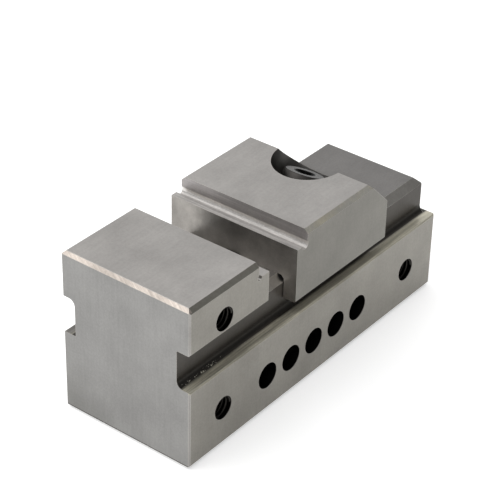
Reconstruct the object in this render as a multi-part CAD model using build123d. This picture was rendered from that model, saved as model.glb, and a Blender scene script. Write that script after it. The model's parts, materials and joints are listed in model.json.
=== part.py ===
from build123d import *
import os
from math import cos, radians, sin, sqrt, tan

# A small screwless vise: a ground steel body with a fixed jaw, a movable jaw that straddles
# its rail, and a slanted screw that draws the jaw forward and down.
#
# Sizes are in millimetres. X runs along the vise from the fixed jaw's end face, Y across it
# and Z up from the face it stands on. The finished pieces are moved to stand on the middle
# of that face.

# Body
body_length = 65.0
body_width = 25.0
base_height = 14.5
rail_width = 20.0
rail_height = 6.6
rail_setback = 0.9
jaw_height = 8.1
fixed_jaw_length = 18.55
groove_fillet = 1.2

# Edges of the body
bottom_side_chamfer = 0.75
bottom_end_chamfer = 0.5
rail_edge_chamfer = 1.2
rail_end_chamfer = 1.0
edge_break = 0.25

# Edges and work steps of the jaws, each step with a round relief groove in its corner
jaw_end_chamfer = 0.55
jaw_side_chamfer = 0.7
step_length = 2.5
fixed_step_depth = 2.6
fixed_relief_radius = 0.5
fixed_relief_offset = 0.25
movable_step_depth = 2.4
movable_relief_radius = 0.75
movable_relief_offset = 0.55

# Row of cross holes whose upper halves are the notches for the cross pin
notch_radius = 2.25
notch_first = 19.0
notch_pitch = 6.0
notch_count = 5
notch_height = 6.9

# Underside channel and the slot for the pull block
channel_width = 17.0
channel_front = 14.0
channel_length = 39.0
channel_height = 7.4
channel_corner = 1.5
slot_width = 8.0
slot_front = 12.0
slot_length = 42.5
slot_roof = 18.4
slot_mouth_front = 25.0

# Tapped side holes for M4 screws
tap_radius = 2.0
tap_depth = 7.0
tap_drill_radius = 1.65
tap_low_height = 7.2
tap_high_height = 23.6
tap_inset = 8.0

# Movable jaw
jaw_length = 24.5
leg_drop = 4.05
leg_clearance = 0.1
leg_corner_gap = 0.55
rear_bevel = 5.2
screw_setback = 17.4

# Round pocket for the screw's head, and the spherical seat below it
pocket_radius = 6.05
pocket_angle = 60.0
pocket_floor = 0.6
head_clearance = 0.3
head_rim_gap = 0.15
seat_clearance = 0.1
shank_slot_clearance = 0.3
shank_slot_steepest = 80.0
shank_slot_flattest = 42.0

# Clamp screw, an M4 socket screw with a low head
thread_radius = 2.0
screw_length = 20.0
head_radius = 3.5
head_height = 2.8
head_chamfer = 0.3
socket_flats = 3.0
socket_depth = 1.7
socket_chamfer = 0.15
tip_chamfer = 0.5

# Half-ball washer between the head and the jaw
ball_radius = 3.4
ball_height = 2.2
washer_clearance = 0.2

# Pull block with its cross pin
pin_radius = 1.25
pin_length = 16.0
pin_chamfer = 0.3
block_side_clearance = 0.2
block_end_radius = 2.0
block_thickness = 6.2
block_shoulder = 3.0
block_reach = 10.5
block_thread_end = 2.6
thread_clearance = 0.05
block_chamfer = 0.4

# How the screw stands: pulled straight it lies at pull_angle above the base, and slack it
# hangs at hang_angle, with the block just clear of the table.
pull_angle = 45.0
hang_angle = 65.0
swing_height = 24.78
pin_bearing_angle = 40.0
pin_seat_gap = 0.06
table_clearance = 0.2

# How far a cutter runs past the face it cuts, and how near an edge lies to count as found
cut_margin = 1.0
edge_tolerance = 0.01

# Places worked out from the sizes above
rail_top = base_height + rail_height
rail_end = body_length - rail_setback
jaw_top = rail_top + jaw_height
leg_bottom = rail_top - leg_drop
second_notch = notch_first + notch_pitch
pin_throw = notch_radius - pin_radius - pin_seat_gap
seated_pin_x = second_notch + pin_throw * cos(radians(pin_bearing_angle))
seated_pin_z = notch_height + pin_throw * sin(radians(pin_bearing_angle))
swing_x = seated_pin_x + (swing_height - seated_pin_z) / tan(radians(pull_angle))
jaw_face = swing_x - screw_setback
jaw_rear = jaw_face + jaw_length
block_width = slot_width - 2 * block_side_clearance
hung_pin_height = block_end_radius + table_clearance
hung_length = (swing_height - hung_pin_height) / sin(radians(hang_angle))


def extrude_along_x(profile, start, length):
    """Extrude a profile drawn as (y, z) from one place along the vise to another."""
    return extrude(Plane.YZ.offset(start) * profile, length)


def extrude_across(profile, width):
    """Extrude a profile drawn as (x, z) to both sides of the middle plane."""
    return extrude(Plane.XZ * profile, width / 2, both=True)


def block_between(x_start, x_end, width, z_start, z_end):
    """A plain block, centred across the vise."""
    centre = Pos((x_start + x_end) / 2, 0, (z_start + z_end) / 2)
    return centre * Box(x_end - x_start, width, z_end - z_start)


def screw_line(angle):
    """Placement at the swing centre whose Z axis points up the screw at this angle."""
    return Location((swing_x, 0, swing_height), (0, 90 - angle, 0))


def rod_up(angle, radius, length, start):
    """A round rod up the screw's line at this angle, from start above the swing centre."""
    align = (Align.CENTER, Align.CENTER, Align.MIN)
    return screw_line(angle) * Pos(0, 0, start) * Cylinder(radius, length, align=align)


def cut_work_step(jaw, face, towards, depth, relief_radius, relief_offset):
    """Cut the step along a jaw's clamping edge, with its relief groove. The face looks along
    X when towards is 1, and against it when towards is -1."""
    wall = face - towards * step_length
    reach = face + towards * cut_margin
    ledge = jaw_top - depth
    step = block_between(min(wall, reach), max(wall, reach), body_width + 2 * cut_margin,
                         ledge, jaw_top + cut_margin)
    groove = Pos(wall + towards * relief_offset, 0, ledge) * Rot(90, 0, 0)
    return jaw - step - groove * Cylinder(relief_radius, body_width + 2 * cut_margin)


def edges_at(shape, axis, place, along):
    """Straight edges parallel to one axis whose middle lies at one place on another."""
    near = (place - edge_tolerance, place + edge_tolerance)
    return shape.edges().filter_by(along).filter_by_position(axis, *near)


# Body: base, rail and fixed jaw from one piece of steel
def make_base():
    half = body_width / 2
    base = block_between(0, body_length, body_width, 0, base_height)
    long_edges = edges_at(base, Axis.Z, 0, Axis.X)
    base = chamfer(long_edges, bottom_side_chamfer)
    end_edges = edges_at(base, Axis.Z, 0, Axis.Y)
    base = chamfer(end_edges, bottom_end_chamfer)
    corners = base.edges().filter_by(Axis.Z)
    corners = corners.filter_by(lambda edge: abs(edge.center().Y) > half - edge_tolerance)
    base = chamfer(corners, edge_break)
    return chamfer(edges_at(base, Axis.Z, base_height, Axis.X), edge_break)


def make_rail():
    rail = block_between(0, rail_end, rail_width, base_height - cut_margin, rail_top)
    rail_ends = edges_at(rail, Axis.Z, rail_top, Axis.Y).sort_by(Axis.X)
    rail = chamfer(rail_ends[-1], rail_end_chamfer)
    rail = chamfer(edges_at(rail, Axis.Z, rail_top, Axis.X), rail_edge_chamfer)

    # The chamfers run only up to the fixed jaw, which stands on the rail's full width
    return rail + block_between(0, fixed_jaw_length, rail_width, base_height, rail_top)


def make_fixed_jaw():
    jaw = block_between(0, fixed_jaw_length, body_width, rail_top, jaw_top)
    end_edge = edges_at(jaw, Axis.Z, jaw_top, Axis.Y).sort_by(Axis.X)[0]
    jaw = chamfer(end_edge, jaw_end_chamfer)
    jaw = chamfer(edges_at(jaw, Axis.Z, jaw_top, Axis.X), jaw_side_chamfer)
    jaw = chamfer(jaw.edges().filter_by(Axis.Z).group_by(Axis.X)[0], edge_break)
    jaw = chamfer(edges_at(jaw, Axis.Z, rail_top, Axis.X), edge_break)
    return cut_work_step(jaw, fixed_jaw_length, 1, fixed_step_depth, fixed_relief_radius,
                         fixed_relief_offset)


def corner_fillet(side, height, up, length):
    """A strip that rounds the corner between the rail's side and a face of its groove."""
    corner = (side * rail_width / 2, height)
    size = groove_fillet
    strip = Pos(corner[0] + side * size / 2, corner[1] + up * size / 2) * Rectangle(size, size)
    strip -= Pos(corner[0] + side * size, corner[1] + up * size) * Circle(size)
    return extrude_along_x(strip, 0, length)


def tapped_hole(x, z):
    """A hole drilled right across and tapped from both sides, to the thread's full size."""
    hole = Cylinder(tap_drill_radius, body_width)
    for side in (-1, 1):
        hole += Pos(0, 0, side * (body_width - tap_depth) / 2) * Cylinder(tap_radius, tap_depth)
    return Pos(x, 0, z) * Rot(90, 0, 0) * hole


def make_body():
    body = make_base() + make_rail() + make_fixed_jaw()
    body += corner_fillet(-1, base_height, 1, rail_end)
    body += corner_fillet(1, rail_top, -1, fixed_jaw_length)

    # Underside channel, and the slot that carries the pull block
    channel = block_between(channel_front, channel_front + channel_length, channel_width,
                            -cut_margin, channel_height)
    channel = fillet(channel.edges().filter_by(Axis.Z), channel_corner)
    slot_middle = Pos(slot_front + slot_length / 2, 0, -cut_margin)
    slot = slot_middle * extrude(SlotOverall(slot_length, slot_width), slot_roof + cut_margin)
    mouth_length = slot_front + slot_length - slot_mouth_front
    mouth_middle = Pos(slot_mouth_front + mouth_length / 2, 0, base_height)
    mouth = mouth_middle * extrude(SlotOverall(mouth_length, slot_width), rail_height + cut_margin)
    body = body - channel - slot - mouth

    for index in range(notch_count):
        place = Pos(notch_first + index * notch_pitch, 0, notch_height) * Rot(90, 0, 0)
        body -= place * Cylinder(notch_radius, body_width + 2 * cut_margin)

    body -= tapped_hole(tap_inset, tap_low_height)
    body -= tapped_hole(body_length - tap_inset, tap_low_height)
    return body - tapped_hole(tap_inset, tap_high_height)


# Movable jaw: it straddles the rail with two legs and holds the screw's head
def make_jaw_block():
    jaw = block_between(jaw_face, jaw_rear, body_width, leg_bottom, jaw_top)
    rear_edge = edges_at(jaw, Axis.Z, jaw_top, Axis.Y).sort_by(Axis.X)[-1]
    jaw = chamfer(rear_edge, rear_bevel)
    jaw = chamfer(edges_at(jaw, Axis.Z, jaw_top, Axis.X), jaw_side_chamfer)
    rear_corners = jaw.edges().filter_by(Axis.Z).group_by(Axis.X)[-1]
    jaw = chamfer(rear_corners, edge_break)
    jaw = chamfer(edges_at(jaw, Axis.Z, leg_bottom, Axis.X), edge_break)
    return cut_work_step(jaw, jaw_face, -1, movable_step_depth, movable_relief_radius,
                         movable_relief_offset)


def make_rail_opening():
    """The opening between the legs. Its corner bevels leave a gap over the rail's chamfers."""
    half = rail_width / 2 + leg_clearance
    bevel = rail_edge_chamfer + leg_clearance - leg_corner_gap * sqrt(2)
    below = leg_bottom - cut_margin
    outline = Polyline((-half, below), (-half, rail_top - bevel), (-half + bevel, rail_top),
                       (half - bevel, rail_top), (half, rail_top - bevel), (half, below),
                       close=True)
    return extrude_along_x(make_face(outline), jaw_face - cut_margin, jaw_length + 2 * cut_margin)


def make_screw_pocket():
    """Everything that is cut from the jaw for the screw's head, washer and shank."""
    pocket = rod_up(pocket_angle, pocket_radius, jaw_height * 2, pocket_floor)

    # The head turns half of the swing to each side of this bore
    half_swing = radians(hang_angle - pull_angle) / 2
    bore_radius = head_radius * cos(half_swing) + head_height * sin(half_swing) + head_clearance
    bore_floor = -head_radius * sin(half_swing) - head_rim_gap
    pocket += rod_up((pull_angle + hang_angle) / 2, bore_radius, jaw_height * 2, bore_floor)
    pocket += Pos(swing_x, 0, swing_height) * Sphere(ball_radius + seat_clearance)

    # The slot below opens like a fan, as wide as the shank with its clearance
    radius = thread_radius + shank_slot_clearance
    reach = screw_length
    outline = []
    for angle, side in ((shank_slot_flattest, -1), (shank_slot_steepest, 1)):
        across = (side * radius * sin(radians(angle)), -side * radius * cos(radians(angle)))
        near = (swing_x + across[0], swing_height + across[1])
        far = (near[0] - reach * cos(radians(angle)), near[1] - reach * sin(radians(angle)))
        outline += [near, far] if side < 0 else [far, near]
    return pocket + extrude_across(make_face(Polyline(*outline, close=True)), 2 * radius)


# Screw, washer, block and pin, drawn along Z with the swing centre at the origin
def make_screw():
    outline = Polyline((0, head_height), (head_radius - head_chamfer, head_height),
                       (head_radius, head_height - head_chamfer), (head_radius, 0),
                       (thread_radius, 0), (thread_radius, tip_chamfer - screw_length),
                       (thread_radius - tip_chamfer, -screw_length), (0, -screw_length), close=True)
    screw = revolve(Plane.XZ * make_face(outline), Axis.Z)
    hexagon = RegularPolygon(socket_flats / 2, 6, major_radius=False)
    socket = Pos(0, 0, head_height - socket_depth) * extrude(hexagon, socket_depth + cut_margin)

    # A shallow cone breaks the socket's rim
    rim_radius = socket_flats / sqrt(3) + socket_chamfer
    rim = Polyline((0, head_height), (rim_radius, head_height), (0, head_height - rim_radius),
                   close=True)
    return screw - socket - revolve(Plane.XZ * make_face(rim), Axis.Z)


def make_washer():
    ball = Sphere(ball_radius)
    across = 2 * (ball_radius + cut_margin)
    keep = Pos(0, 0, -ball_height / 2) * Box(across, across, ball_height)
    return ball & keep - Cylinder(thread_radius + washer_clearance, across)


def make_block():
    """The nut that the screw draws up: square above, rounded round its cross pin."""
    upper_height = block_reach - block_shoulder
    upper = Pos(0, block_shoulder + upper_height / 2) * Rectangle(block_thickness, upper_height)
    outline = make_hull((upper + Circle(block_end_radius)).edges())
    block = extrude_across(outline, block_width)
    block = chamfer(block.faces().sort_by(Axis.Z)[-1].edges(), block_chamfer)
    thread_length = block_reach - block_thread_end + cut_margin
    thread = Pos(0, 0, block_thread_end + thread_length / 2)
    block -= thread * Cylinder(thread_radius + thread_clearance, thread_length)
    return block - Rot(90, 0, 0) * Cylinder(pin_radius, block_width + 2 * cut_margin)


def make_pin():
    pin = Rot(90, 0, 0) * Cylinder(pin_radius, pin_length)
    return chamfer(pin.edges().filter_by(GeomType.CIRCLE), pin_chamfer)


hung_screw = screw_line(hang_angle)
hung_block = hung_screw * Pos(0, 0, -hung_length)
jaw = make_jaw_block() - make_rail_opening() - make_screw_pocket()

pieces = {
    "vise_body": make_body(),
    "movable_jaw": jaw,
    "clamp_screw": hung_screw * make_screw(),
    "ball_washer": hung_screw * make_washer(),
    "pull_block": hung_block * make_block(),
    "cross_pin": hung_block * make_pin(),
}

os.makedirs("parts", exist_ok=True)
stand = Pos(-body_length / 2, 0, 0)
for name, shape in pieces.items():
    export_step(stand * shape, f"parts/{name}.step")
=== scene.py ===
import bpy
import bmesh
import json
from math import radians, sqrt, tau
from mathutils import Matrix, Vector


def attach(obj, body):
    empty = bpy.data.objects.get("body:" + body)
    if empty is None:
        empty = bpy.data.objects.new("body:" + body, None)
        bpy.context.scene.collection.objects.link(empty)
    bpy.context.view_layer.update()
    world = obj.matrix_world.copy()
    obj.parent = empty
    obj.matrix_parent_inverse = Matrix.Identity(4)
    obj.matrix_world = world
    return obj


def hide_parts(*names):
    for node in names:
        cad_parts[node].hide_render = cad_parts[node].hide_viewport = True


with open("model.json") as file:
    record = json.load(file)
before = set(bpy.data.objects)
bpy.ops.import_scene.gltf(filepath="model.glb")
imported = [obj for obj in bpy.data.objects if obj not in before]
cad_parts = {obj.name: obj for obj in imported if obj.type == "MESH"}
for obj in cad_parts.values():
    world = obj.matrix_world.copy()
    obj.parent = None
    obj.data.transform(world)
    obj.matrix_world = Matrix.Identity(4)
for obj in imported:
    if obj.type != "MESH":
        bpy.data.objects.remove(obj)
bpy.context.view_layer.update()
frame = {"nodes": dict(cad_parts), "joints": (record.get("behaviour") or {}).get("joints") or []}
cadNodes = frame["nodes"]
mm = 0.001
print("stage: packed model loaded")


def linearColour(hexCode):
    channels = [int(hexCode[i:i + 2], 16) / 255 for i in (1, 3, 5)]
    return tuple(c / 12.92 if c <= 0.04045 else ((c + 0.055) / 1.055) ** 2.4 for c in channels) + (1.0,)


def addNode(tree, kind, settings=None, inputs=None):
    node = tree.nodes.new(kind)
    for name, value in (settings or {}).items():
        setattr(node, name, value)
    for key, value in (inputs or {}).items():
        if isinstance(value, bpy.types.NodeSocket):
            tree.links.new(value, node.inputs[key])
        else:
            node.inputs[key].default_value = value
    return node


def newMaterial(name):
    material = bpy.data.materials.new(name)
    material.use_nodes = True
    material.node_tree.nodes.clear()
    return material, material.node_tree


def newObject(name, data):
    made = bpy.data.objects.new(name, data)
    bpy.context.scene.collection.objects.link(made)
    return made


def dress(node, material):
    slots = node.data.materials
    slots.clear()
    slots.append(material)


# Camera, where the photograph was taken from
cameraView = {
    "place": (-199.83, -150.18, 181.09),  # mm
    "azimuth": -52.718,
    "elevation": 33.107,
    "roll": 1.480,
    "lens": 134.23,
    "sensor": 36.0,
    "shift": (0.0011, 0.0002),
    "nearest": 10.0,  # mm
}
cameraData = bpy.data.cameras.new("camera")
cameraData.lens = cameraView["lens"]
cameraData.sensor_width = cameraView["sensor"]
cameraData.shift_x, cameraData.shift_y = cameraView["shift"]
cameraData.clip_start = cameraView["nearest"] * mm
camera = newObject("camera", cameraData)
camera.matrix_world = (
    Matrix.Translation(Vector(cameraView["place"]) * mm)
    @ Matrix.Rotation(radians(cameraView["azimuth"]), 4, "Z")
    @ Matrix.Rotation(radians(90 - cameraView["elevation"]), 4, "X")
    @ Matrix.Rotation(radians(cameraView["roll"]), 4, "Z")
)
bpy.context.scene.camera = camera
bpy.context.scene.view_settings.view_transform = "Standard"


# Floor: white paper, which the camera and the steel see as white with a weak shadow
floorValues = {
    "size": 3.0,  # m
    "colour": "#E8E8E8",
    "roughness": 0.9,
    "glow": 0.5,
    "glowInSteel": 0.3,
}
half = floorValues["size"] / 2
floorCorners = [(-half, -half, 0), (half, -half, 0), (half, half, 0), (-half, half, 0)]
floorMesh = bpy.data.meshes.new("floor")
floorMesh.from_pydata(floorCorners, [], [(0, 1, 2, 3)])
floor = newObject("floor", floorMesh)
paper, tree = newMaterial("whitePaper")
lightPath = addNode(tree, "ShaderNodeLightPath")
seen = addNode(tree, "ShaderNodeMath", {"operation": "MAXIMUM"}, {
    0: lightPath.outputs["Is Camera Ray"], 1: lightPath.outputs["Is Transmission Ray"]})
seenGlow = addNode(tree, "ShaderNodeMath", {"operation": "MULTIPLY"}, {
    0: seen.outputs[0], 1: floorValues["glow"]})
glow = addNode(tree, "ShaderNodeMath", {"operation": "MULTIPLY_ADD"}, {
    0: lightPath.outputs["Is Glossy Ray"], 1: floorValues["glowInSteel"], 2: seenGlow.outputs[0]})
surface = addNode(tree, "ShaderNodeBsdfPrincipled", None, {
    "Base Color": linearColour(floorValues["colour"]), "Roughness": floorValues["roughness"],
    "Specular IOR Level": 0.0,
    "Emission Color": (1, 1, 1, 1), "Emission Strength": glow.outputs[0]})
addNode(tree, "ShaderNodeOutputMaterial", None, {"Surface": surface.outputs[0]})
dress(floor, paper)


# World and lamp: a white room with a darker side, and one large soft lamp
lightValues = {
    "room": "#FFFFFF",
    "roomStrength": 1.0,
    "darkSide": "#8E8E8E",
    "darkTowards": (0.35, -0.9, 0.25),
    "darkFrom": 0.35,
    "darkTo": 0.85,
    "lampPlace": (-0.25, 0.25, 0.6),  # m
    "lampSize": 0.5,  # m
    "lampPower": 1.2,  # W
}
world = bpy.data.worlds.new("room")
world.use_nodes = True
bpy.context.scene.world = world
tree = world.node_tree
tree.nodes.clear()
lightPath = addNode(tree, "ShaderNodeLightPath")
direction = addNode(tree, "ShaderNodeTexCoord")
towards = addNode(tree, "ShaderNodeVectorMath", {"operation": "DOT_PRODUCT"}, {
    0: direction.outputs["Generated"], 1: Vector(lightValues["darkTowards"]).normalized()})
dark = addNode(tree, "ShaderNodeMapRange", {"interpolation_type": "SMOOTHSTEP"}, {
    "Value": towards.outputs["Value"],
    "From Min": lightValues["darkFrom"], "From Max": lightValues["darkTo"]})
roomColour = addNode(tree, "ShaderNodeMix", {"data_type": "RGBA"}, {
    "Factor": dark.outputs["Result"],
    6: linearColour(lightValues["room"]), 7: linearColour(lightValues["darkSide"])})
roomLight = addNode(tree, "ShaderNodeBackground", None, {
    "Color": roomColour.outputs[2], "Strength": lightValues["roomStrength"]})
whiteBack = addNode(tree, "ShaderNodeBackground", None, {"Color": (1, 1, 1, 1), "Strength": 1.0})
mixed = addNode(tree, "ShaderNodeMixShader", None, {
    0: lightPath.outputs["Is Camera Ray"], 1: roomLight.outputs[0], 2: whiteBack.outputs[0]})
addNode(tree, "ShaderNodeOutputWorld", None, {"Surface": mixed.outputs[0]})
lampData = bpy.data.lights.new("mainLamp", "AREA")
lampData.shape = "SQUARE"
lampData.size = lightValues["lampSize"]
lampData.energy = lightValues["lampPower"]
lamp = newObject("mainLamp", lampData)
lamp.location = lightValues["lampPlace"]
lamp.rotation_euler = (-Vector(lightValues["lampPlace"])).to_track_quat("-Z", "Y").to_euler()
print("stage: camera, floor and lamp")


# Hardened tool steel, surface ground: grey and half dull, with fine wheel lines. Its edges are painted
# lighter, partly as wear and partly as a painted highlight, and its ends, sides, holes, grooves and hollows
# are painted darker as shade
steelValues = {
    "tops": "#A29F9C",
    "roughness": 0.36,
    "lineDulls": (-0.04, 0.05),
    "lineDepth": 0.06,  # mm
    "lineStrength": 0.25,
    # edges are painted this lighter colour, partly as wear and partly as a painted highlight
    "wornEdgeAndHighlight": "#BDBAB3",
    "edgeWidth": 0.2,  # mm
    "edgeSamples": 4,
    "edgeTurn": (0.995, 0.93),  # cosines of a smoothed edge's turn, from no wear and painted highlight to full
    "filmHides": 0.6,  # the share of the metal that a dry film hides
    "flatFrom": 0.9,  # a face this square to an axis is an end, a side or a top
    "chamferFacing": (0.6, 0.8),
}

# The levels that most of a noise pattern lies between
noiseRange = {"From Min": 0.3, "From Max": 0.7}

# The steel's patterns, by the mm that they run along x, y and z before they change. The real wheel
# lines and grain are about 0.1 mm or finer, too fine to show, so they are drawn coarser
patternValues = {
    "upright": {"run": (0.5, 0.5, 9.0), "detail": 3.0, "roughness": 0.62},
    "lengthwise": {"run": (6.0, 0.5, 0.5), "detail": 3.0, "roughness": 0.62},
    "rubbedAlong": {"run": (9.0, 0.3, 0.3), "detail": 3.0, "roughness": 0.62},
    "rubbedAcross": {"run": (0.3, 9.0, 0.3), "detail": 3.0, "roughness": 0.62},
    "grain": {"run": (0.35, 0.35, 0.35), "detail": 2.0, "roughness": 0.55},
    "clouds": {"run": (7.0, 7.0, 7.0), "detail": 3.0, "roughness": 0.55},
    "specks": {"run": (0.3, 0.3, 0.3), "detail": 1.0, "roughness": 0.55},
    "speckPatches": {"run": (6.0, 6.0, 6.0), "detail": 0.0, "roughness": 0.55},
    "slantMarks": {"run": 0.8, "slant": 2.4, "detail": 2.0, "roughness": 0.6},
}

# Zones of the body: a colour, the faces or the earlier zone it is on, and its limits, with a third
# number where its rim is soft. Limits are in mm, across is the distance from the middle plane, and
# a limit by a pattern is a level of that pattern. A later zone lies over an earlier one, and a zone
# with no colour is only there for others to use. A pattern changes the brightness of a zone, or of
# everything, from its low to its high number
bodyValues = {
    "zones": [
        # painted shade: the side faces are darker than the tops
        ("shadedSides", "#928F88", ["isSide"], {}),
        # painted shade: the groove's wall is painted dark
        ("grooveWallShade", "#524F4B", ["notEnd"], {"across": (9.6, 11.0, 0.3), "z": (14.45, 21.2)}),
        ("railChamfer", "#A5A29D", ["isSideChamfer"], {"z": (19.8, 21.15)}),
        # painted shade: the groove's fillet is painted darker still
        ("grooveFilletShade", "#353330", ["notEnd"], {"across": (9.9, 11.0, 0.12), "z": (14.4, 15.9, 0.4)}),
        ("shelf", "#C8C3B1", ["notEnd"], {"across": (10.9, 12.6, 0.2), "z": (14.2, 15.2)}),
        ("shelfFront", None, ["shelf"], {"x": (-40, -4, 12)}),
        # painted shade: the left shelf is darker than the right
        ("shelfLeftShade", "#7A7772", ["shelf"], {"y": (0, 13)}),
        ("railTop", "#777573", ["isTop"], {"z": (20.9, 21.3)}),
        # painted shade: the end faces are a little darker than the tops
        ("shadedEnds", "#979694", ["isEnd"], {}),
        ("frontEnd", None, ["isEnd"], {"x": (-32.6, -32.4)}),
        # painted shade: the front end is darker towards its lower left
        ("endShade", "#83827F", ["frontEnd"], {"y": (6, 16, 5), "z": (-2, 6, 5)}),
        # painted shade: a dark line along the bottom of the front end
        ("bottomEdgeShade", "#45433F", ["frontEnd"], {"z": (0.4, 0.68, 0.06)}),
        ("fixedSideChamfer", "#95928A", ["isSideChamfer"], {"z": (28.4, 29.3)}),
        ("endChamfer", "#B0A79F", [], {"x": (-32.6, -31.9), "z": (28.62, 29.15, 0.02)}),
        ("fixedRelief", "#A5A29E", ["notSide"], {"x": (-16.8, -15.72, 0.02), "z": (26.0, 27.02, 0.02)}),
        # painted shade: the walls inside the holes, the channel and the slot are painted dark
        ("lowHolesShade", "#2B2A28", [], {"x": (-32.35, 32.35), "across": (-1, 12.4), "z": (0.1, 14.35)}),
        ("highHoleShade", "#2B2A28", [], {"x": (-32.35, -20), "across": (-1, 12.4), "z": (21.3, 26.4)}),
        ("channelShade", "#2B2A28", [], {"x": (-30, 31.4), "across": (-1, 9.6), "z": (0.1, 19.7)}),
        ("slotShade", "#2B2A28", [], {"x": (-22, 22.3), "across": (-1, 4.1), "z": (19.0, 21.0)}),
        ("speck", "#DAD6C6", ["notEnd"], {
            "specks": (0.62, 2.0, 0.02), "speckPatches": (0.46, 2.0, 0.03),
            "x": (-32.3, -12), "across": (10.35, 10.85), "z": (14.6, 15.4)}),
    ],
    "patterns": [
        ("lines", 0.95, 1.05, None),
        ("grain", 0.95, 1.05, None),
        ("clouds", 0.91, 1.09, None),
        ("slantMarks", 0.89, 1.18, "endChamfer"),
        ("clouds", 0.86, 1.26, "endChamfer"),
        ("rubbedAlong", 0.78, 1.14, "shelf"),
        ("rubbedAlong", 0.68, 1.15, "shelfFront"),
    ],
    "dryFilm": ["shelf", "speck"],
    "polished": None,
    "duller": {},
}

# The movable jaw, in the same way: its clamping face is polished, and its step is stoned by hand. Its step
# floor and relief wall and its side chamfer carry painted highlights, the right of its face a painted
# reflection, and its ends, sides and pocket painted shade. Towards the bevel is x and z together
jawValues = {
    "zones": [
        # painted shade: the side faces are darker than the tops, and the end faces a little darker
        ("shadedSides", "#82807A", ["isSide"], {}),
        ("shadedEnds", "#979694", ["isEnd"], {}),
        ("stepWall", "#ABA7A6", ["isEnd"], {"x": (-4.6, -4.2), "z": (27.3, 29.3)}),
        # painted highlight: the step floor is lighter than the steel
        ("stepFloorHighlight", "#BCB9B6", ["notEnd", "notSide"], {"x": (-6.95, -4.3), "z": (25.6, 27.9)}),
        # painted highlight: the relief wall is painted nearly white
        ("reliefWallHighlight", "#E4E1DE", ["isEnd"], {"x": (-4.5, -4.0), "z": (26.0, 27.3)}),
        ("jawFace", "#A29E99", ["isEnd"], {"x": (-7.0, -6.8)}),
        # painted reflection: the right of the clamping face is lighter
        ("jawFaceRightReflection", "#C6C1BB", ["jawFace"], {"y": (-14, -5, 4)}),
        # painted highlight: the side chamfer is much lighter than the sides, and the yellowish patches on it
        # are a real stain
        ("stainedChamferHighlight", "#D4D1C8", ["isSideChamfer"], {"y": (-13, 0)}),
        ("yellowStain", "#D8D2C0", ["stainedChamferHighlight"], {"clouds": (0.5, 2.0, 0.08)}),
        # painted shade: the counterbore pocket is darker
        ("pocketShade", "#767472", [], {
            "x": (3.0, 17.4), "across": (-1, 6.15), "z": (10.0, 29.1), "towardsBevel": (0.0, 41.5)}),
    ],
    "patterns": [
        ("lines", 0.95, 1.05, "unpolished"),
        ("grain", 0.95, 1.05, None),
        ("clouds", 0.91, 1.09, None),
        ("rubbedAcross", 0.72, 1.25, "stepFloorHighlight"),
        ("rubbedAcross", 0.88, 1.14, "stepWall"),
        ("clouds", 0.75, 1.3, "jawFace"),
    ],
    "dryFilm": [],
    "polished": "jawFace",
    "duller": {"stepFloorHighlight": 0.22, "stepWall": 0.1, "jawFace": 0.02},
}


def between(tree, value, low, high, soft=0.05):
    rise = addNode(tree, "ShaderNodeMapRange", None, {
        "Value": value, "From Min": low - soft, "From Max": low + soft})
    fall = addNode(tree, "ShaderNodeMapRange", None, {
        "Value": value, "From Min": high + soft, "From Max": high - soft})
    both = addNode(tree, "ShaderNodeMath", {"operation": "MULTIPLY"}, {
        0: rise.outputs["Result"], 1: fall.outputs["Result"]})
    return both.outputs[0]


def overlap(tree, masks):
    common = masks[0]
    for mask in masks[1:]:
        common = addNode(tree, "ShaderNodeMath", {"operation": "MULTIPLY"}, {
            0: common, 1: mask}).outputs[0]
    return common


# Where a point of the surface is, in mm in the vise's own frame, and which way its face looks
def surfacePlace(tree):
    at = {}
    coordinate = addNode(tree, "ShaderNodeTexCoord")
    at["place"] = addNode(tree, "ShaderNodeVectorMath", {"operation": "SCALE"}, {
        0: coordinate.outputs["Object"], "Scale": 1 / mm}).outputs[0]
    at["x"], at["y"], at["z"] = addNode(tree, "ShaderNodeSeparateXYZ", None, {0: at["place"]}).outputs
    at["towardsBevel"] = addNode(tree, "ShaderNodeMath", {"operation": "ADD"}, {
        0: at["x"], 1: at["z"]}).outputs[0]
    facing = addNode(tree, "ShaderNodeSeparateXYZ", None, {0: coordinate.outputs["Normal"]}).outputs
    for name, value in (("across", at["y"]), ("facingEnd", facing[0]), ("facingSide", facing[1])):
        at[name] = addNode(tree, "ShaderNodeMath", {"operation": "ABSOLUTE"}, {0: value}).outputs[0]
    at["facingUp"] = facing[2]
    for name, value in (("isEnd", "facingEnd"), ("isSide", "facingSide"), ("isTop", "facingUp")):
        at[name] = addNode(tree, "ShaderNodeMath", {"operation": "GREATER_THAN"}, {
            0: at[value], 1: steelValues["flatFrom"]}).outputs[0]
    for name, value in (("notEnd", "isEnd"), ("notSide", "isSide")):
        at[name] = addNode(tree, "ShaderNodeMath", {"operation": "SUBTRACT"}, {
            0: 1.0, 1: at[value]}).outputs[0]
    at["isSideChamfer"] = overlap(tree, [
        between(tree, at[value], *steelValues["chamferFacing"]) for value in ("facingSide", "facingUp")])
    return at


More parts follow.
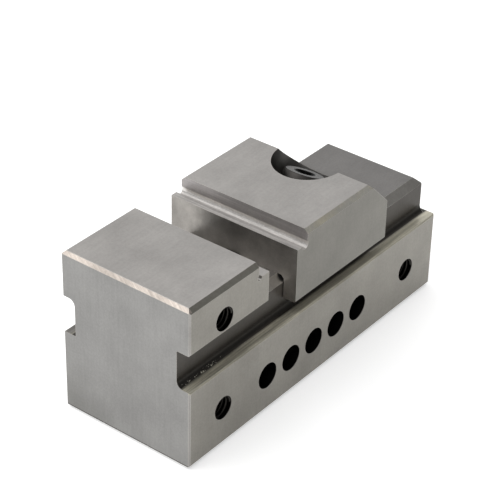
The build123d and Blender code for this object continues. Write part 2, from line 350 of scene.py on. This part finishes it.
# A place, a mask or a pattern by its name; a pattern is made when it is first asked for
def surfaceValue(tree, at, name):
    if name in at:
        return at[name]
    if name == "lines":
        at[name] = addNode(tree, "ShaderNodeMix", {"data_type": "FLOAT"}, {
            "Factor": at["isTop"],
            2: surfaceValue(tree, at, "upright"), 3: surfaceValue(tree, at, "lengthwise")}).outputs[0]
        return at[name]
    values = patternValues[name]
    if name == "slantMarks":
        slanted = addNode(tree, "ShaderNodeMath", {"operation": "MULTIPLY_ADD"}, {
            0: at["x"], 1: -values["slant"], 2: at["y"]})
        noise = addNode(tree, "ShaderNodeTexNoise", {"noise_dimensions": "1D"}, {
            "W": slanted.outputs[0], "Scale": 1 / values["run"]})
    else:
        stretched = addNode(tree, "ShaderNodeMapping", None, {
            "Vector": at["place"], "Scale": [1 / run for run in values["run"]]})
        noise = addNode(tree, "ShaderNodeTexNoise", None, {
            "Vector": stretched.outputs[0], "Scale": 1.0})
    noise.inputs["Detail"].default_value = values["detail"]
    noise.inputs["Roughness"].default_value = values["roughness"]
    at[name] = noise.outputs[0]
    return at[name]


def groundSteel(materialName, values):
    material, tree = newMaterial(materialName)
    at = surfacePlace(tree)
    colour = linearColour(steelValues["tops"])
    for name, hexCode, on, limits in values["zones"]:
        masks = [at[zone] for zone in on]
        masks += [between(tree, surfaceValue(tree, at, key), *edges) for key, edges in limits.items()]
        at[name] = overlap(tree, masks)
        if hexCode is not None:
            colour = addNode(tree, "ShaderNodeMix", {"data_type": "RGBA"}, {
                "Factor": at[name], 6: colour, 7: linearColour(hexCode)}).outputs[2]

    # A polished zone has no lines
    strength = steelValues["lineStrength"]
    if values["polished"] is not None:
        at["unpolished"] = addNode(tree, "ShaderNodeMath", {"operation": "SUBTRACT"}, {
            0: 1.0, 1: at[values["polished"]]}).outputs[0]
        strength = addNode(tree, "ShaderNodeMath", {"operation": "MULTIPLY"}, {
            0: at["unpolished"], 1: steelValues["lineStrength"]}).outputs[0]
    for pattern, low, high, zone in values["patterns"]:
        amount = addNode(tree, "ShaderNodeMapRange", None, {
            **noiseRange, "Value": surfaceValue(tree, at, pattern),
            "To Min": low, "To Max": high}).outputs["Result"]
        if zone is not None:
            amount = addNode(tree, "ShaderNodeMix", {"data_type": "FLOAT"}, {
                "Factor": at[zone], 2: 1.0, 3: amount}).outputs[0]
        colour = addNode(tree, "ShaderNodeVectorMath", {"operation": "SCALE"}, {
            0: colour, "Scale": amount}).outputs[0]

    # Edges are painted lighter, partly as wear and partly as a painted highlight, in some places more than
    # in others
    bevel = addNode(tree, "ShaderNodeBevel", {"samples": steelValues["edgeSamples"]}, {
        "Radius": steelValues["edgeWidth"] * mm})
    geometry = addNode(tree, "ShaderNodeNewGeometry")
    alike = addNode(tree, "ShaderNodeVectorMath", {"operation": "DOT_PRODUCT"}, {
        0: bevel.outputs[0], 1: geometry.outputs["True Normal"]})
    edge = addNode(tree, "ShaderNodeMapRange", None, {
        "Value": alike.outputs["Value"],
        "From Min": steelValues["edgeTurn"][0], "From Max": steelValues["edgeTurn"][1]}).outputs["Result"]
    final = addNode(tree, "ShaderNodeMix", {"data_type": "RGBA"}, {
        "Factor": overlap(tree, [edge, surfaceValue(tree, at, "clouds")]),
        6: colour, 7: linearColour(steelValues["wornEdgeAndHighlight"])})

    # Lines make it a little duller, and a dry film hides part of the metal
    lines = surfaceValue(tree, at, "lines")
    lowDull, highDull = (steelValues["roughness"] + change for change in steelValues["lineDulls"])
    dull = addNode(tree, "ShaderNodeMapRange", None, {
        **noiseRange, "Value": lines, "To Min": lowDull, "To Max": highDull}).outputs["Result"]
    for zone, change in values["duller"].items():
        dull = addNode(tree, "ShaderNodeMath", {"operation": "MULTIPLY_ADD"}, {
            0: at[zone], 1: change, 2: dull}).outputs[0]
    bump = addNode(tree, "ShaderNodeBump", None, {
        "Strength": strength, "Distance": steelValues["lineDepth"] * mm, "Height": lines})
    metallic = 1.0
    if values["dryFilm"]:
        film = addNode(tree, "ShaderNodeMath", {"operation": "MAXIMUM"}, {
            index: at[zone] for index, zone in enumerate(values["dryFilm"])})
        metallic = addNode(tree, "ShaderNodeMath", {"operation": "MULTIPLY_ADD"}, {
            0: film.outputs[0], 1: -steelValues["filmHides"], 2: 1.0}).outputs[0]
    surface = addNode(tree, "ShaderNodeBsdfPrincipled", None, {
        "Base Color": final.outputs[2], "Metallic": metallic, "Roughness": dull, "Normal": bump.outputs[0]})
    addNode(tree, "ShaderNodeOutputMaterial", None, {"Surface": surface.outputs[0]})
    return material


dress(cadNodes["vise_body"], groundSteel("groundBodySteel", bodyValues))
dress(cadNodes["movable_jaw"], groundSteel("groundJawSteel", jawValues))


# The small steels, each by how it is made
smallSteels = {
    # a lapped ball: smooth and half dull
    "hardenedWasherSteel": {"nodes": ["ball_washer"], "colour": "#7E7B77", "roughness": 0.28},
    # black oxide over mill marks: satin black
    "blackOxideSteel": {"nodes": ["pull_block"], "colour": "#34322F", "roughness": 0.45},
    # a ground pin: bright, the shiniest of them
    "groundPinSteel": {"nodes": ["cross_pin"], "colour": "#A9A6A1", "roughness": 0.22},
    # cut threads in a deep hole: oily, and painted dark as the hole's shade
    "shadedThreadSteel": {"nodes": [], "colour": "#3F3D3A", "roughness": 0.36},
}
mottleValues = {
    "size": 0.4545,  # mm, coarser than the real mill and grit marks, which are too fine to show
    "detail": 4.0,
    "roughness": 0.6,
    "brightness": (0.82, 1.16),
    "dulls": (-0.05, 0.08),
    "strength": 0.2,
    "depth": 0.02,  # mm
}
materials = {}
for name, values in smallSteels.items():
    metal, tree = newMaterial(name)
    materials[name] = metal
    coordinate = addNode(tree, "ShaderNodeTexCoord")
    place = addNode(tree, "ShaderNodeVectorMath", {"operation": "SCALE"}, {
        0: coordinate.outputs["Object"], "Scale": 1 / mm})
    mottle = addNode(tree, "ShaderNodeTexNoise", None, {
        "Vector": place.outputs[0], "Scale": 1 / mottleValues["size"],
        "Detail": mottleValues["detail"], "Roughness": mottleValues["roughness"]}).outputs[0]
    darkest, lightest = mottleValues["brightness"]
    tint = addNode(tree, "ShaderNodeMapRange", None, {
        **noiseRange, "Value": mottle, "To Min": darkest, "To Max": lightest})
    shaded = addNode(tree, "ShaderNodeVectorMath", {"operation": "SCALE"}, {
        0: linearColour(values["colour"])[:3], "Scale": tint.outputs["Result"]})
    lowDull, highDull = (values["roughness"] + change for change in mottleValues["dulls"])
    dull = addNode(tree, "ShaderNodeMapRange", None, {
        **noiseRange, "Value": mottle, "To Min": lowDull, "To Max": highDull})
    bump = addNode(tree, "ShaderNodeBump", None, {
        "Strength": mottleValues["strength"], "Distance": mottleValues["depth"] * mm, "Height": mottle})
    surface = addNode(tree, "ShaderNodeBsdfPrincipled", None, {
        "Base Color": shaded.outputs[0], "Metallic": 1.0, "Roughness": dull.outputs["Result"],
        "Normal": bump.outputs[0]})
    addNode(tree, "ShaderNodeOutputMaterial", None, {"Surface": surface.outputs[0]})
    for node in values["nodes"]:
        dress(cadNodes[node], metal)


# Turned and oiled screw steel: dull rings about the screw's axis, and a socket painted black as shade
screwValues = {
    "ring": "#474543",
    "groove": "#393735",
    # painted shade: the socket is painted black
    "socket": "#0B0B0B",
    "socketRadius": 1.95,  # mm
    "socketFrom": 0.06,  # mm below the head's top
    "socketSoft": 0.02,
    "ringSpacing": 0.35,  # mm, coarser than the real turning marks, which are too fine to show
    "ringDetail": 2.0,
    "roughness": 0.42,
    "ringDulls": 0.06,
}
screwTurn = next(joint for joint in frame["joints"] if joint["name"] == "screw_turn")
screwPivot = Vector(screwTurn["pos_m"])
screwUp = -Vector(screwTurn["axis"]).normalized()
screwVertices = cadNodes["clamp_screw"].data.vertices
headTop = max((vertex.co - screwPivot).dot(screwUp) / mm for vertex in screwVertices)
screwSteel, tree = newMaterial("turnedScrewSteel")
coordinate = addNode(tree, "ShaderNodeTexCoord")
fromPivot = addNode(tree, "ShaderNodeVectorMath", {"operation": "SUBTRACT"}, {
    0: coordinate.outputs["Object"], 1: screwPivot})
fromPivotMm = addNode(tree, "ShaderNodeVectorMath", {"operation": "SCALE"}, {
    0: fromPivot.outputs[0], "Scale": 1 / mm}).outputs[0]
fromAxis = addNode(tree, "ShaderNodeVectorMath", {"operation": "CROSS_PRODUCT"}, {
    0: fromPivotMm, 1: screwUp})
radius = addNode(tree, "ShaderNodeVectorMath", {"operation": "LENGTH"}, {
    0: fromAxis.outputs[0]}).outputs["Value"]
height = addNode(tree, "ShaderNodeVectorMath", {"operation": "DOT_PRODUCT"}, {
    0: fromPivotMm, 1: screwUp}).outputs["Value"]
rings = addNode(tree, "ShaderNodeTexNoise", {"noise_dimensions": "1D"}, {
    "W": radius, "Scale": 1 / screwValues["ringSpacing"], "Detail": screwValues["ringDetail"]}).outputs[0]
ringed = addNode(tree, "ShaderNodeMix", {"data_type": "RGBA"}, {
    "Factor": rings, 6: linearColour(screwValues["groove"]), 7: linearColour(screwValues["ring"])})
inSocketShade = overlap(tree, [
    between(tree, radius, -1, screwValues["socketRadius"]),
    between(tree, height, 0, headTop - screwValues["socketFrom"], screwValues["socketSoft"])])
screwColour = addNode(tree, "ShaderNodeMix", {"data_type": "RGBA"}, {
    "Factor": inSocketShade, 6: ringed.outputs[2], 7: linearColour(screwValues["socket"])})
dull = addNode(tree, "ShaderNodeMapRange", None, {
    "Value": rings, "To Min": screwValues["roughness"] - screwValues["ringDulls"],
    "To Max": screwValues["roughness"] + screwValues["ringDulls"]})
surface = addNode(tree, "ShaderNodeBsdfPrincipled", None, {
    "Base Color": screwColour.outputs[2], "Metallic": 1.0, "Roughness": dull.outputs["Result"]})
addNode(tree, "ShaderNodeOutputMaterial", None, {"Surface": surface.outputs[0]})
dress(cadNodes["clamp_screw"], screwSteel)
print("stage: materials")


# A tree with one mesh in, one mesh out and a named input for each size, and the sizes' sockets
def newGeometryTree(name, meshInput, meshOutput, sizes):
    group = bpy.data.node_groups.new(name, "GeometryNodeTree")
    group.is_modifier = True
    newSocket = group.interface.new_socket
    newSocket(meshInput, in_out="INPUT", socket_type="NodeSocketGeometry")
    sockets = {}
    for size in sizes:
        sockets[size] = newSocket(size, in_out="INPUT", socket_type="NodeSocketFloat").identifier
    newSocket(meshOutput, in_out="OUTPUT", socket_type="NodeSocketGeometry")
    return group, sockets, addNode(group, "NodeGroupInput").outputs


# The plain mesh that a tree makes of a carrier. The carrier goes, and its modifier with it
def meshFromTree(carrier, group, sockets, values):
    modifier = carrier.modifiers.new(group.name, "NODES")
    modifier.node_group = group
    for size, identifier in sockets.items():
        modifier[identifier] = values[size]
    bpy.context.view_layer.update()
    evaluated = carrier.evaluated_get(bpy.context.evaluated_depsgraph_get())
    mesh = bpy.data.meshes.new_from_object(evaluated)
    bpy.data.objects.remove(carrier)
    return mesh


# Threads of the tapped holes: one ridge for each mouth, laid on the wall of the CAD hole
threadValues = {
    "pitch": 0.7,  # mm, as are all the sizes below
    "radius": 2.02,
    "ridgeHeight": 0.36,
    "ridgeWidth": 0.56,
    "firstTurn": 0.32,
    "depth": 6.4,
    "stepsPerTurn": 32,
    "sideFace": 12.5,
    "holes": [(-24.5, 7.2), (24.5, 7.2), (-24.5, 23.6)],  # x and z, on both sides
}
threadTree, threadSockets, given = newGeometryTree("threadRidges", "mouths", "threads", (
    "pitch", "radius", "ridgeHeight", "ridgeWidth", "firstTurn", "depth"))
turns = addNode(threadTree, "ShaderNodeMath", {"operation": "DIVIDE"}, {
    0: given["depth"], 1: given["pitch"]})
helix = addNode(threadTree, "GeometryNodeCurveSpiral", None, {
    "Resolution": threadValues["stepsPerTurn"], "Rotations": turns.outputs[0],
    "Start Radius": given["radius"], "End Radius": given["radius"], "Height": given["depth"]})
level = addNode(threadTree, "GeometryNodeSetCurveNormal", {"mode": "Z_UP"}, {"Curve": helix.outputs[0]})

# A triangle in a circle of radius 1 is 1.5 high and sqrt(3) wide, and its base is at -0.5
triangle = addNode(threadTree, "GeometryNodeCurvePrimitiveCircle", {"mode": "RADIUS"}, {
    "Resolution": 3, "Radius": 1.0})
tall = addNode(threadTree, "ShaderNodeMath", {"operation": "DIVIDE"}, {0: given["ridgeHeight"], 1: 1.5})
wide = addNode(threadTree, "ShaderNodeMath", {"operation": "DIVIDE"}, {0: given["ridgeWidth"], 1: sqrt(3)})
stretch = addNode(threadTree, "ShaderNodeCombineXYZ", None, {0: tall.outputs[0], 1: wide.outputs[0], 2: 1.0})
baseShift = addNode(threadTree, "ShaderNodeMath", {"operation": "MULTIPLY"}, {0: tall.outputs[0], 1: 0.5})
offset = addNode(threadTree, "ShaderNodeCombineXYZ", None, {0: baseShift.outputs[0]})
profile = addNode(threadTree, "GeometryNodeTransform", None, {
    "Geometry": triangle.outputs[0], "Scale": stretch.outputs[0], "Translation": offset.outputs[0]})
ridge = addNode(threadTree, "GeometryNodeCurveToMesh", None, {
    "Curve": level.outputs[0], "Profile Curve": profile.outputs[0], "Fill Caps": True})
start = addNode(threadTree, "ShaderNodeCombineXYZ", None, {2: given["firstTurn"]})
started = addNode(threadTree, "GeometryNodeTransform", None, {
    "Geometry": ridge.outputs[0], "Translation": start.outputs[0]})

# Each mouth's ridge is tipped over so that it runs into its own side of the body
mouthPlace = addNode(threadTree, "GeometryNodeInputPosition")
mouthAxes = addNode(threadTree, "ShaderNodeSeparateXYZ", None, {0: mouthPlace.outputs[0]})
sideSign = addNode(threadTree, "ShaderNodeMath", {"operation": "SIGN"}, {0: mouthAxes.outputs[1]})
tilt = addNode(threadTree, "ShaderNodeMath", {"operation": "MULTIPLY"}, {0: sideSign.outputs[0], 1: tau / 4})
tipped = addNode(threadTree, "ShaderNodeCombineXYZ", None, {0: tilt.outputs[0]})
placed = addNode(threadTree, "GeometryNodeInstanceOnPoints", None, {
    "Points": given["mouths"], "Instance": started.outputs[0], "Rotation": tipped.outputs[0],
    "Scale": (mm, mm, mm)})
whole = addNode(threadTree, "GeometryNodeRealizeInstances", None, {"Geometry": placed.outputs[0]})
coloured = addNode(threadTree, "GeometryNodeSetMaterial", None, {
    "Geometry": whole.outputs[0], "Material": materials["shadedThreadSteel"]})
addNode(threadTree, "NodeGroupOutput", None, {"threads": coloured.outputs[0]})
mouths = [Vector((x, side * threadValues["sideFace"], z)) * mm
          for side in (-1, 1) for x, z in threadValues["holes"]]
mouthMesh = bpy.data.meshes.new("mouths")
mouthMesh.from_pydata(mouths, [], [])
threadMesh = meshFromTree(newObject("mouths", mouthMesh), threadTree, threadSockets, threadValues)
tapThreads = newObject("tapThreads", threadMesh)
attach(tapThreads, "body")
print("stage: threads", len(threadMesh.polygons), "faces")


# The screw: the CAD head, and a shank with a real thread in place of the plain one
shankValues = {
    "pitch": 0.7,  # mm, as are all the sizes below
    "crestRadius": 1.99,
    "rootRadius": 1.6,
    "tipRadius": 1.45,
    "headBeyond": 0.5,  # what stands out further than this from the crests is the head
    "stubLeft": 0.05,
    "sunkInHead": 0.3,
    "weldWithin": 0.001,
    "cutWithin": 0.0001,
    "flatness": 1.35,  # above 1 the crests and roots are flat
    "stepsPerTurn": 32,
    "stepsPerPitch": 10,
}
screwMesh = bmesh.new()
screwMesh.from_mesh(cadNodes["clamp_screw"].data)
bmesh.ops.remove_doubles(screwMesh, verts=screwMesh.verts, dist=shankValues["weldWithin"] * mm)
heights = [(vertex.co - screwPivot).dot(screwUp) / mm for vertex in screwMesh.verts]
radii = [(vertex.co - screwPivot).cross(screwUp).length / mm for vertex in screwMesh.verts]
headRadius = shankValues["crestRadius"] + shankValues["headBeyond"]
headUnder = min(up for up, out in zip(heights, radii) if out > headRadius)
cut = bmesh.ops.bisect_plane(
    screwMesh, geom=screwMesh.verts[:] + screwMesh.edges[:] + screwMesh.faces[:],
    dist=shankValues["cutWithin"] * mm,
    plane_co=screwPivot + screwUp * (headUnder - shankValues["stubLeft"]) * mm,
    plane_no=screwUp, clear_inner=True)
cutEdges = [part for part in cut["geom_cut"] if isinstance(part, bmesh.types.BMEdge)]
bmesh.ops.contextual_create(screwMesh, geom=cutEdges)
bmesh.ops.recalc_face_normals(screwMesh, faces=screwMesh.faces)
headMesh = bpy.data.meshes.new("screwHead")
screwMesh.to_mesh(headMesh)
screwMesh.free()

shankLength = headUnder + shankValues["sunkInHead"] - min(heights)
shankMiddle = screwPivot + screwUp * (min(heights) + shankLength / 2) * mm
shankTree, shankSockets, given = newGeometryTree(
    "threadedShank", "head", "screw", ("length", "pitch", "crestRadius", "rootRadius", "tipRadius"))
pitches = addNode(shankTree, "ShaderNodeMath", {"operation": "DIVIDE"}, {
    0: given["length"], 1: given["pitch"]})
rows = addNode(shankTree, "ShaderNodeMath", {"operation": "MULTIPLY"}, {
    0: pitches.outputs[0], 1: shankValues["stepsPerPitch"]})
barrel = addNode(shankTree, "GeometryNodeMeshCylinder", {"fill_type": "NGON"}, {
    "Vertices": shankValues["stepsPerTurn"], "Side Segments": rows.outputs[0],
    "Radius": 1.0, "Depth": given["length"]})

# Each point of the barrel moves out to the thread's radius at its turn and height: the wave goes
# from 0 at a root through 0.25 on a flank to 0.5 at a crest
spot = addNode(shankTree, "GeometryNodeInputPosition").outputs[0]
spotX, spotY, spotZ = addNode(shankTree, "ShaderNodeSeparateXYZ", None, {0: spot}).outputs
angle = addNode(shankTree, "ShaderNodeMath", {"operation": "ARCTAN2"}, {0: spotY, 1: spotX})
turn = addNode(shankTree, "ShaderNodeMath", {"operation": "DIVIDE"}, {0: angle.outputs[0], 1: tau})
rise = addNode(shankTree, "ShaderNodeMath", {"operation": "DIVIDE"}, {0: spotZ, 1: given["pitch"]})
phase = addNode(shankTree, "ShaderNodeMath", {"operation": "SUBTRACT"}, {
    0: rise.outputs[0], 1: turn.outputs[0]})
wave = addNode(shankTree, "ShaderNodeMath", {"operation": "PINGPONG"}, {0: phase.outputs[0], 1: 0.5})
flanks = addNode(shankTree, "ShaderNodeMapRange", {"clamp": True}, {
    "Value": wave.outputs[0],
    "From Min": 0.25 - 0.25 / shankValues["flatness"], "From Max": 0.25 + 0.25 / shankValues["flatness"],
    "To Min": given["rootRadius"], "To Max": given["crestRadius"]})
halfLength = addNode(shankTree, "ShaderNodeMath", {"operation": "DIVIDE"}, {0: given["length"], 1: 2.0})
fromTip = addNode(shankTree, "ShaderNodeMath", {"operation": "ADD"}, {0: spotZ, 1: halfLength.outputs[0]})
pointed = addNode(shankTree, "ShaderNodeMath", {"operation": "ADD"}, {
    0: fromTip.outputs[0], 1: given["tipRadius"]})
threadRadius = addNode(shankTree, "ShaderNodeMath", {"operation": "MINIMUM"}, {
    0: flanks.outputs["Result"], 1: pointed.outputs[0]})
widening = addNode(shankTree, "ShaderNodeCombineXYZ", None, {
    0: threadRadius.outputs[0], 1: threadRadius.outputs[0], 2: 1.0})
widened = addNode(shankTree, "ShaderNodeVectorMath", {"operation": "MULTIPLY"}, {
    0: spot, 1: widening.outputs[0]})
cutThread = addNode(shankTree, "GeometryNodeSetPosition", None, {
    "Geometry": barrel.outputs["Mesh"], "Position": widened.outputs[0]})
laid = addNode(shankTree, "GeometryNodeTransform", None, {
    "Geometry": cutThread.outputs[0], "Translation": shankMiddle,
    "Rotation": screwUp.to_track_quat("Z", "Y").to_euler(), "Scale": (mm, mm, mm)})
joined = addNode(shankTree, "GeometryNodeJoinGeometry", None, {0: laid.outputs[0]})
shankTree.links.new(given["head"], joined.inputs[0])
whole = addNode(shankTree, "GeometryNodeRealizeInstances", None, {"Geometry": joined.outputs[0]})
coloured = addNode(shankTree, "GeometryNodeSetMaterial", None, {
    "Geometry": whole.outputs[0], "Material": screwSteel})
addNode(shankTree, "NodeGroupOutput", None, {"screw": coloured.outputs[0]})
shankSizes = dict(shankValues, length=shankLength)
threadedMesh = meshFromTree(newObject("screwHead", headMesh), shankTree, shankSockets, shankSizes)
threadedScrew = newObject("threadedScrew", threadedMesh)
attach(threadedScrew, "screw")
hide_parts("clamp_screw")
print("stage: screw", len(threadedMesh.polygons), "faces, shank", round(shankLength, 2), "mm")
